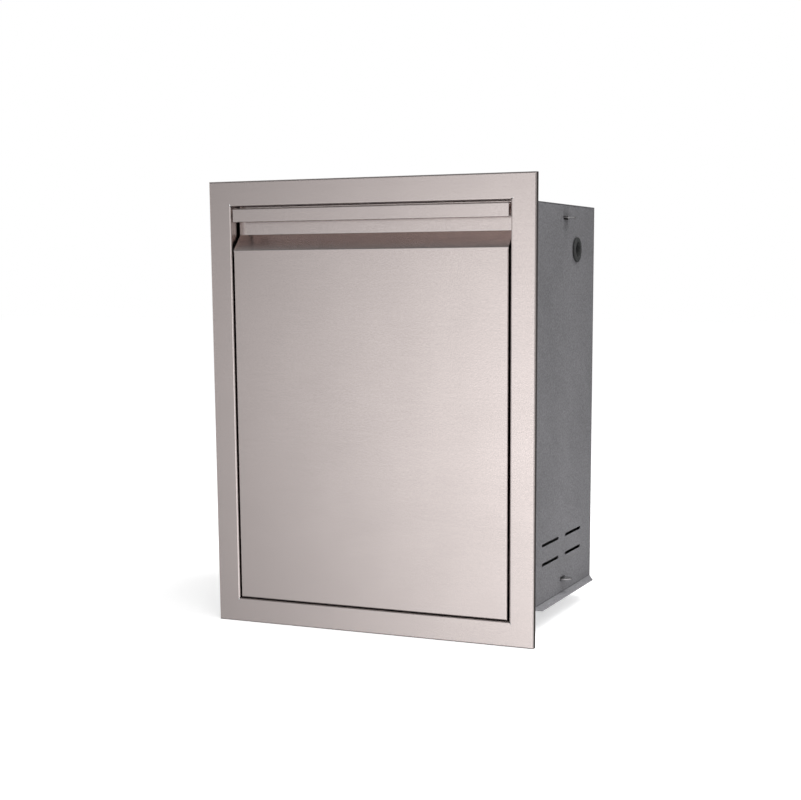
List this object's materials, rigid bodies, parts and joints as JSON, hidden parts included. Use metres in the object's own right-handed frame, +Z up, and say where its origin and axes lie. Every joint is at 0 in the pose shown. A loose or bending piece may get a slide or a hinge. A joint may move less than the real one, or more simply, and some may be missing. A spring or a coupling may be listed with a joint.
{
  "type": "built-in outdoor kitchen drawer unit",
  "caption": "Built-in outdoor kitchen drawer unit: tall flush steel front with a folded finger grip in a face frame, on a vented grey cabinet with a sliding bottle carriage.",
  "frame": {"origin": "middle of the cut-out's sill edge: on the centre line, on the wall's front plane and on the underside of the cabinet's floor", "axes": "+X to the right as seen from the front, +Y to the back of the cabinet, +Z up"},
  "size_m": [0.5206, 0.386, 0.6731],
  "materials": {
    "face_steel": "brushed satin, light grey",
    "inner_steel": "mill satin",
    "cabinet_grey": "fine-textured mid grey",
    "ear_steel": "mill satin",
    "slide_zinc": "bright zinc plate",
    "cage_steel": "plain stamped strip",
    "bearing_steel": "polished",
    "fastener_steel": "plain",
    "black_rubber": "matte black"
  },
  "bodies": {
    "cabinet": {"cabinet_back": "cabinet_grey", "cabinet_floor": "cabinet_grey", "cabinet_left_side": "cabinet_grey", "cabinet_right_side": "cabinet_grey", "cabinet_rivets": "fastener_steel", "cabinet_top": "cabinet_grey", "face_frame": "face_steel", "left_hose_grommet": "black_rubber", "left_slide_outer": "slide_zinc", "left_slide_rail": "cabinet_grey", "mounting_ears": "ear_steel", "rail_screws": "fastener_steel", "rear_bumpers": "black_rubber", "right_hose_grommet": "black_rubber", "right_slide_outer": "slide_zinc", "right_slide_rail": "cabinet_grey"},
    "drawer": {"drawer_front_skin": "face_steel", "drawer_front_liner": "inner_steel", "front_stiffeners": "inner_steel", "left_front_brace": "inner_steel", "right_front_brace": "inner_steel", "tray_base": "inner_steel", "tray_back": "inner_steel", "tray_left_side": "inner_steel", "tray_right_side": "inner_steel", "front_screws": "fastener_steel", "tray_rivets": "fastener_steel", "carriage_slide_screws": "fastener_steel", "left_slide_inner": "slide_zinc", "right_slide_inner": "slide_zinc"},
    "left_middle_member": {"left_slide_middle": "slide_zinc"},
    "left_outer_race_cage": {"left_outer_cage": "cage_steel", "left_outer_balls": "bearing_steel"},
    "left_inner_race_cage": {"left_inner_cage": "cage_steel", "left_inner_balls": "bearing_steel"},
    "right_middle_member": {"right_slide_middle": "slide_zinc"},
    "right_outer_race_cage": {"right_outer_cage": "cage_steel", "right_outer_balls": "bearing_steel"},
    "right_inner_race_cage": {"right_inner_cage": "cage_steel", "right_inner_balls": "bearing_steel"}
  },
  "joints": [
    {"name": "drawer_slide", "type": "slide", "parent": "cabinet", "child": "drawer", "axis": [0, -1, 0], "range_m": [0, 0.35]},
    {"name": "left_middle_slide", "type": "slide", "parent": "cabinet", "child": "left_middle_member", "axis": [0, -1, 0], "range_m": [0, 0.175]},
    {"name": "left_outer_cage_slide", "type": "slide", "parent": "cabinet", "child": "left_outer_race_cage", "axis": [0, -1, 0], "range_m": [0, 0.0875]},
    {"name": "left_inner_cage_slide", "type": "slide", "parent": "cabinet", "child": "left_inner_race_cage", "axis": [0, -1, 0], "range_m": [0, 0.2625]},
    {"name": "right_middle_slide", "type": "slide", "parent": "cabinet", "child": "right_middle_member", "axis": [0, -1, 0], "range_m": [0, 0.175]},
    {"name": "right_outer_cage_slide", "type": "slide", "parent": "cabinet", "child": "right_outer_race_cage", "axis": [0, -1, 0], "range_m": [0, 0.0875]},
    {"name": "right_inner_cage_slide", "type": "slide", "parent": "cabinet", "child": "right_inner_race_cage", "axis": [0, -1, 0], "range_m": [0, 0.2625]}
  ],
  "couplings": [
    {"joint": "left_middle_slide", "follows": "drawer_slide", "ratio": 0.5},
    {"joint": "left_outer_cage_slide", "follows": "drawer_slide", "ratio": 0.25},
    {"joint": "left_inner_cage_slide", "follows": "drawer_slide", "ratio": 0.75},
    {"joint": "right_middle_slide", "follows": "drawer_slide", "ratio": 0.5},
    {"joint": "right_outer_cage_slide", "follows": "drawer_slide", "ratio": 0.25},
    {"joint": "right_inner_cage_slide", "follows": "drawer_slide", "ratio": 0.75}
  ]
}
